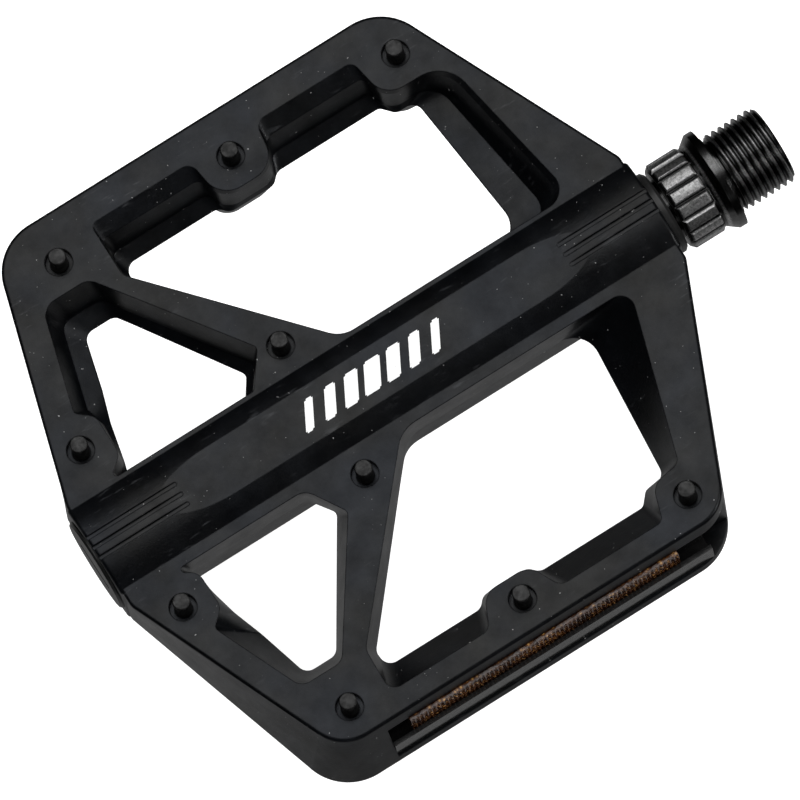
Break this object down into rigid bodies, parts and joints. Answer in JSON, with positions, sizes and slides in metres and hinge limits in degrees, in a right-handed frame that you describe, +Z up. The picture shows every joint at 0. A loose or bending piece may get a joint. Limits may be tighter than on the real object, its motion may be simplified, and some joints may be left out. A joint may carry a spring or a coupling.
{
  "type": "bicycle pedal",
  "caption": "Flat bicycle pedal with steel traction pins and edge reflectors, turning on a threaded spindle.",
  "frame": {"origin": "centre of the spindle flange's face that seats against the crank arm, on the spindle axis", "axes": "+X along the spindle towards the crank arm, +Z up through the upper face, +Y towards the rear long edge"},
  "size_m": [0.1329, 0.108, 0.0218],
  "materials": {
    "platform_nylon": "moulded black nylon, fine grain",
    "pin_steel": "blackened steel, worn tips",
    "tray_plastic": "glossy black",
    "reflector_amber": "amber prismatic reflector",
    "spindle_steel": "glossy black plated steel",
    "bushing_bronze": "sintered bronze",
    "seal_rubber": "black rubber",
    "bearing_steel": "ground bearing steel",
    "shield_rubber": "black rubber shield",
    "ball_steel": "polished",
    "cage_brass": "pressed brass",
    "hardware_steel": "zinc plated",
    "cap_plastic": "black"
  },
  "bodies": {
    "spindle": {"spindle": "spindle_steel", "bearing_inner_race": "bearing_steel", "spacer_washer": "hardware_steel", "lock_nut": "hardware_steel"},
    "platform": {"platform": "platform_nylon", "upper_pin_01": "pin_steel", "upper_pin_02": "pin_steel", "upper_pin_03": "pin_steel", "upper_pin_04": "pin_steel", "upper_pin_05": "pin_steel", "upper_pin_06": "pin_steel", "upper_pin_07": "pin_steel", "upper_pin_08": "pin_steel", "upper_pin_09": "pin_steel", "upper_pin_10": "pin_steel", "lower_pin_01": "pin_steel", "lower_pin_02": "pin_steel", "lower_pin_03": "pin_steel", "lower_pin_04": "pin_steel", "lower_pin_05": "pin_steel", "lower_pin_06": "pin_steel", "lower_pin_07": "pin_steel", "lower_pin_08": "pin_steel", "lower_pin_09": "pin_steel", "lower_pin_10": "pin_steel", "front_reflector_tray": "tray_plastic", "front_reflector_lens": "reflector_amber", "rear_reflector_tray": "tray_plastic", "rear_reflector_lens": "reflector_amber", "inboard_bushing": "bushing_bronze", "dust_seal": "seal_rubber", "bearing_outer_race": "bearing_steel", "bearing_shield_outboard": "shield_rubber", "bearing_shield_inboard": "shield_rubber", "end_cap": "cap_plastic"},
    "bearing_cage": {"bearing_cage": "cage_brass", "bearing_ball_1": "ball_steel", "bearing_ball_2": "ball_steel", "bearing_ball_3": "ball_steel", "bearing_ball_4": "ball_steel", "bearing_ball_5": "ball_steel", "bearing_ball_6": "ball_steel", "bearing_ball_7": "ball_steel", "bearing_ball_8": "ball_steel", "bearing_ball_9": "ball_steel"}
  },
  "joints": [
    {"name": "platform_spin", "type": "hinge", "parent": "spindle", "child": "platform", "pos_m": [0, 0, 0], "axis": [1, 0, 0], "continuous": true},
    {"name": "cage_spin", "type": "hinge", "parent": "spindle", "child": "bearing_cage", "pos_m": [-0.1143, 0, 0], "axis": [1, 0, 0], "continuous": true}
  ],
  "couplings": [
    {"joint": "cage_spin", "follows": "platform_spin", "ratio": 0.5833}
  ]
}
